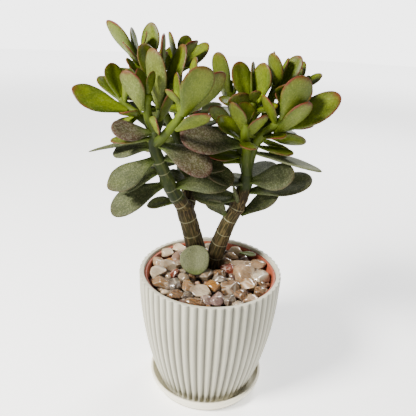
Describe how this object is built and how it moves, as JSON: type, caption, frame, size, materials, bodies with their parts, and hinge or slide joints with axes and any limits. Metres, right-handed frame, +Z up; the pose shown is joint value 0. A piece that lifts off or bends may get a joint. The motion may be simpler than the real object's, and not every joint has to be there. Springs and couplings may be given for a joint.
{
  "type": "potted jade plant",
  "caption": "Jade plant with thick spoon-shaped leaves on two woody stems, in a terracotta-coloured nursery pot with gravel, set in a fluted cream pot on a round saucer",
  "frame": {"origin": "centre of the saucer's underside", "axes": "+Z up, the front of the plant faces -Y, +X to the right seen from the front"},
  "size_m": [0.2183, 0.1487, 0.3558],
  "materials": {
    "pot": "matte cream, fluted",
    "saucer": "matte cream, smooth",
    "terracotta": "satin terracotta-coloured plastic",
    "soil": "dark crumbly potting soil",
    "gravel": "polished mixed agate pebbles",
    "bark": "brown stem bark with pale ring scars",
    "green_stem": "smooth green fleshy stem",
    "leaf": "waxy green succulent leaf with red margin"
  },
  "bodies": {
    "root": {"saucer": "saucer", "outer_pot": "pot", "nursery_pot": "terracotta", "soil": "soil", "gravel": "gravel", "left_trunk": "bark", "right_trunk": "bark", "left_front_branch": "bark", "left_rear_branch": "bark", "centre_shoot": "green_stem", "far_left_shoot": "green_stem", "far_right_shoot": "green_stem", "front_shoot": "green_stem", "mid_left_shoot": "green_stem", "mid_right_shoot": "green_stem", "near_left_shoot": "green_stem", "rear_left_shoot": "green_stem", "rear_mid_shoot": "green_stem", "rear_right_shoot": "green_stem", "rear_shoot": "green_stem", "right_shoot": "green_stem", "centre_leaf_1": "leaf", "centre_leaf_2": "leaf", "centre_leaf_3": "leaf", "far_left_leaf_1": "leaf", "far_left_leaf_2": "leaf", "front_leaf_1": "leaf", "front_leaf_2": "leaf", "front_leaf_3": "leaf", "left_front_leaf_1": "leaf", "left_front_leaf_10": "leaf", "left_front_leaf_2": "leaf", "left_front_leaf_3": "leaf", "left_front_leaf_4": "leaf", "left_front_leaf_5": "leaf", "left_front_leaf_6": "leaf", "left_front_leaf_7": "leaf", "left_front_leaf_8": "leaf", "left_front_leaf_9": "leaf", "mid_left_leaf_1": "leaf", "mid_left_leaf_2": "leaf", "mid_right_leaf_1": "leaf", "mid_right_leaf_2": "leaf", "near_left_leaf_1": "leaf", "rear_left_leaf_1": "leaf", "rear_right_leaf_1": "leaf", "right_leaf_1": "leaf", "right_leaf_2": "leaf", "right_leaf_3": "leaf", "right_leaf_4": "leaf", "right_leaf_5": "leaf", "right_leaf_6": "leaf", "right_trunk_leaf_1": "leaf", "right_trunk_leaf_2": "leaf", "right_trunk_leaf_3": "leaf", "right_trunk_leaf_4": "leaf", "round_loose_leaf": "leaf", "small_loose_leaf": "leaf"}
  },
  "joints": []
}
